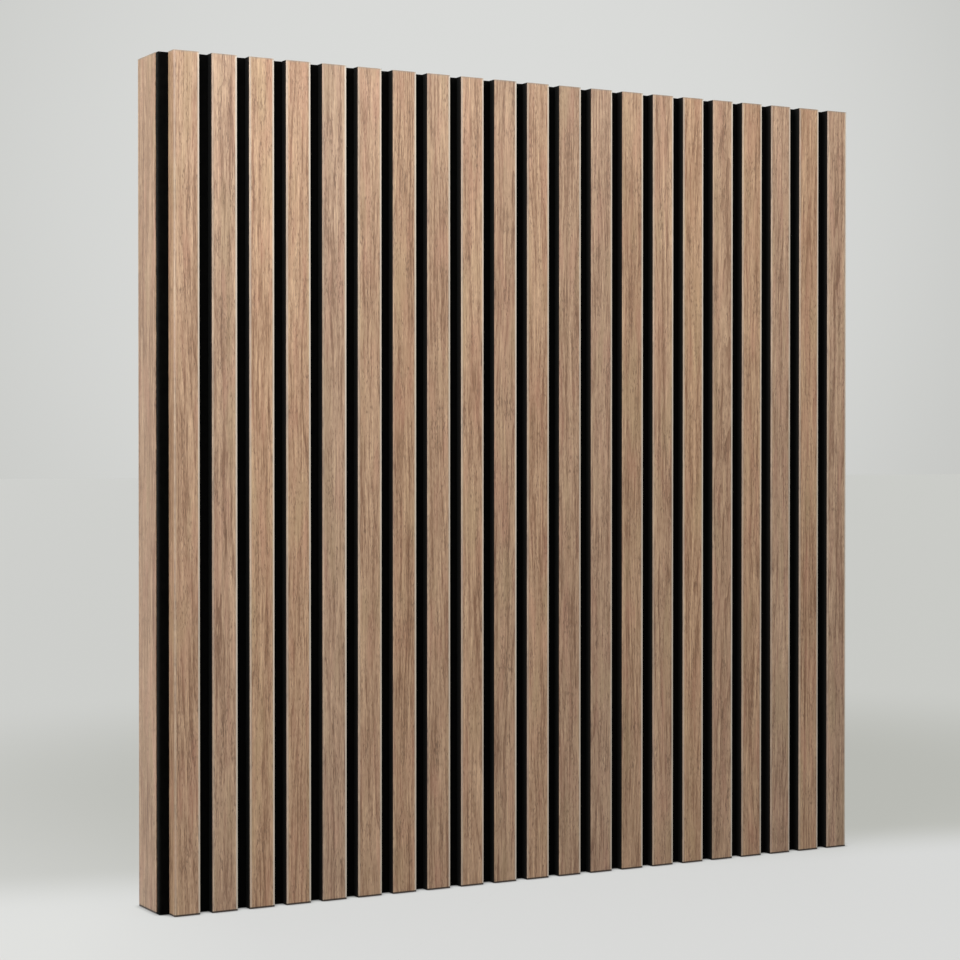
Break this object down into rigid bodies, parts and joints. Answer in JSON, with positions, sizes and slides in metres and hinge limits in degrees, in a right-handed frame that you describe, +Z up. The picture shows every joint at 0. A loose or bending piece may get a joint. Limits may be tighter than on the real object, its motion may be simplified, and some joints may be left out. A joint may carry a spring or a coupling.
{
  "type": "acoustic slat wall panel",
  "caption": "Square sound-absorbing wall panel: upright walnut-faced slats on black felt, over a shallow box frame with a soft core and a screwed back board.",
  "frame": {"origin": "middle of the underside, halfway through the depth", "axes": "+X along the width, to the right as seen from the slats' side; the slats face -Y and the back faces the wall at +Y; +Z up, along the slats"},
  "size_m": [0.6, 0.05, 0.6],
  "materials": {
    "walnut_veneer": "matt oiled",
    "black_fibreboard": "sawn, dyed through",
    "black_felt": "needle-punched",
    "walnut_frame": "matt oiled",
    "grey_absorber": "fibre wadding",
    "hardboard": "smooth",
    "zinc_plated_steel": "zinc plated"
  },
  "bodies": {
    "root": {"slat_01": "black_fibreboard", "slat_02": "black_fibreboard", "slat_03": "black_fibreboard", "slat_04": "black_fibreboard", "slat_05": "black_fibreboard", "slat_06": "black_fibreboard", "slat_07": "black_fibreboard", "slat_08": "black_fibreboard", "slat_09": "black_fibreboard", "slat_10": "black_fibreboard", "slat_11": "black_fibreboard", "slat_12": "black_fibreboard", "slat_13": "black_fibreboard", "slat_14": "black_fibreboard", "slat_15": "black_fibreboard", "slat_16": "black_fibreboard", "slat_17": "black_fibreboard", "slat_18": "black_fibreboard", "slat_19": "black_fibreboard", "slat_20": "black_fibreboard", "slat_21": "black_fibreboard", "slat_veneer_01": "walnut_veneer", "slat_veneer_02": "walnut_veneer", "slat_veneer_03": "walnut_veneer", "slat_veneer_04": "walnut_veneer", "slat_veneer_05": "walnut_veneer", "slat_veneer_06": "walnut_veneer", "slat_veneer_07": "walnut_veneer", "slat_veneer_08": "walnut_veneer", "slat_veneer_09": "walnut_veneer", "slat_veneer_10": "walnut_veneer", "slat_veneer_11": "walnut_veneer", "slat_veneer_12": "walnut_veneer", "slat_veneer_13": "walnut_veneer", "slat_veneer_14": "walnut_veneer", "slat_veneer_15": "walnut_veneer", "slat_veneer_16": "walnut_veneer", "slat_veneer_17": "walnut_veneer", "slat_veneer_18": "walnut_veneer", "slat_veneer_19": "walnut_veneer", "slat_veneer_20": "walnut_veneer", "slat_veneer_21": "walnut_veneer", "edge_band_left": "walnut_veneer", "edge_band_right": "walnut_veneer", "frame_bottom": "walnut_frame", "frame_left": "walnut_frame", "frame_top": "walnut_frame", "frame_right": "walnut_frame", "felt_sheet": "black_felt", "felt_strips": "black_felt", "absorber_slab": "grey_absorber", "back_board": "hardboard", "back_board_screws": "zinc_plated_steel"}
  },
  "joints": []
}
